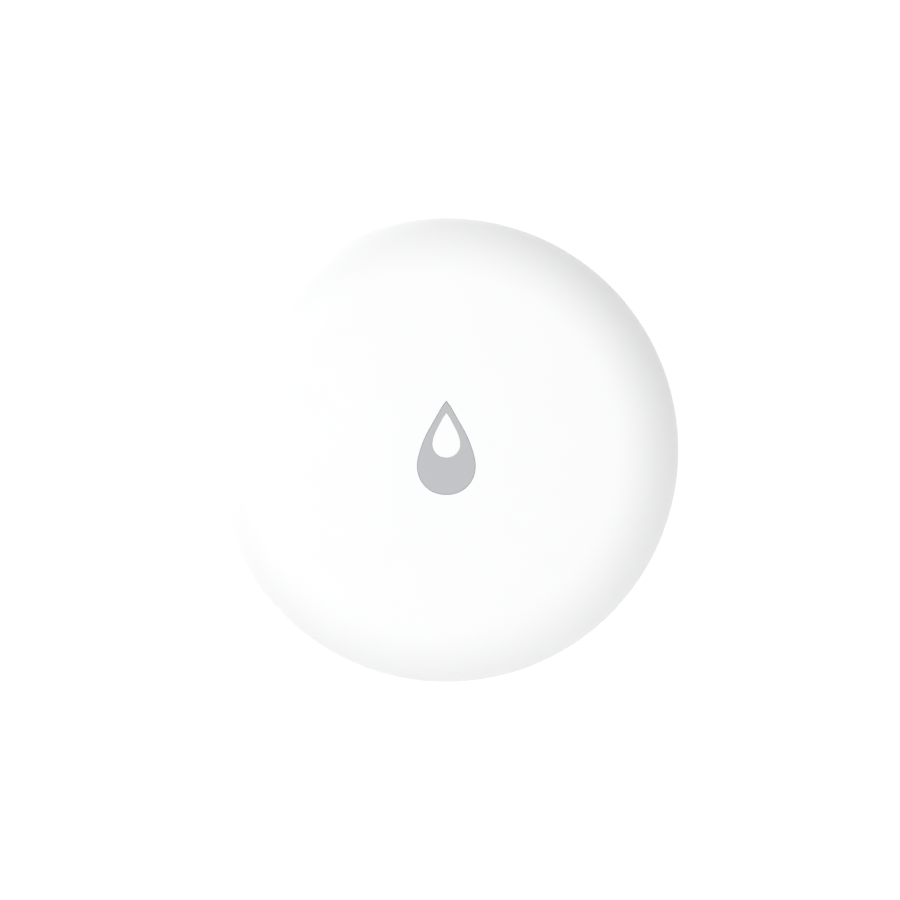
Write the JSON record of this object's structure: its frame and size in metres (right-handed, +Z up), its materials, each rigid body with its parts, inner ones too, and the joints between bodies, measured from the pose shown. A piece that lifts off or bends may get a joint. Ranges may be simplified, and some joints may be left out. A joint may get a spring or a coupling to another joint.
{
  "type": "water leak sensor",
  "caption": "Round puck that lies on the floor, senses water between metal probes on its underside, with a drop-shaped key on top and a battery cover below.",
  "frame": {"origin": "centre of the puck on the plane of its feet", "axes": "+Z up through the top, +Y towards the tip of the water drop, probes along X"},
  "size_m": [0.05, 0.05, 0.015],
  "materials": {
    "cover_plastic": "satin white moulded plastic, very fine texture",
    "key_plastic": "satin light grey moulded plastic",
    "highlight_plastic": "satin white inlay",
    "silicone": "soft translucent grey silicone",
    "inner_plastic": "natural white moulded plastic",
    "cell_steel": "nickel-plated steel with a fine circular brush",
    "gasket_plastic": "dark moulded gasket",
    "probe_steel": "stainless steel screw",
    "standoff_brass": "turned brass",
    "board_laminate": "green solder mask on glass laminate",
    "screw_steel": "zinc-plated steel",
    "switch_plastic": "black moulded plastic",
    "tinned_steel": "tin-plated spring steel",
    "plunger_plastic": "black moulded plastic",
    "chip_plastic": "black epoxy",
    "trace_copper": "copper trace",
    "led_lens": "clear moulded lens on a white base",
    "capacitor_block": "yellow moulded block",
    "capacitor_ceramic": "brown ceramic",
    "resistor_ceramic": "black coated ceramic"
  },
  "bodies": {
    "housing": {"top_cover": "cover_plastic", "key_boot": "silicone", "boot_retainer": "inner_plastic", "housing_seal": "silicone", "base_housing": "cover_plastic", "coin_cell_can": "cell_steel", "coin_cell_gasket": "gasket_plastic", "coin_cell_cap": "cell_steel", "probe_screws": "probe_steel", "probe_seals": "silicone", "probe_standoffs": "standoff_brass", "circuit_board": "board_laminate", "board_screws": "screw_steel", "switch_body": "switch_plastic", "switch_frame": "tinned_steel", "switch_dome": "tinned_steel", "positive_contact": "tinned_steel", "negative_contact": "tinned_steel", "radio_shield": "tinned_steel", "radio_chip": "chip_plastic", "antenna_trace": "trace_copper", "status_led": "led_lens", "buffer_capacitor": "capacitor_block", "sense_chip": "chip_plastic", "crystals": "tinned_steel", "capacitors": "capacitor_ceramic", "resistors": "resistor_ceramic"},
    "key": {"drop_key": "key_plastic", "drop_highlight": "highlight_plastic"},
    "plunger": {"switch_plunger": "plunger_plastic"},
    "battery_cover": {"battery_cover": "cover_plastic", "battery_cover_seal": "silicone"}
  },
  "joints": [
    {"name": "key_press", "type": "slide", "parent": "housing", "child": "key", "axis": [0, 0, -1], "range_m": [0, 0.0003], "stiffness_N_per_m": 1200, "springref_m": -0.001, "deforming": ["key_boot"]},
    {"name": "plunger_press", "type": "slide", "parent": "housing", "child": "plunger", "axis": [0, 0, -1], "range_m": [0, 0.0003], "deforming": ["switch_dome"]},
    {"name": "cover_turn", "type": "hinge", "parent": "housing", "child": "battery_cover", "pos_m": [0, 0, 0.0007], "axis": [0, 0, -1], "range_deg": [0, 45]}
  ],
  "couplings": [
    {"joint": "plunger_press", "follows": "key_press", "ratio": 1}
  ]
}
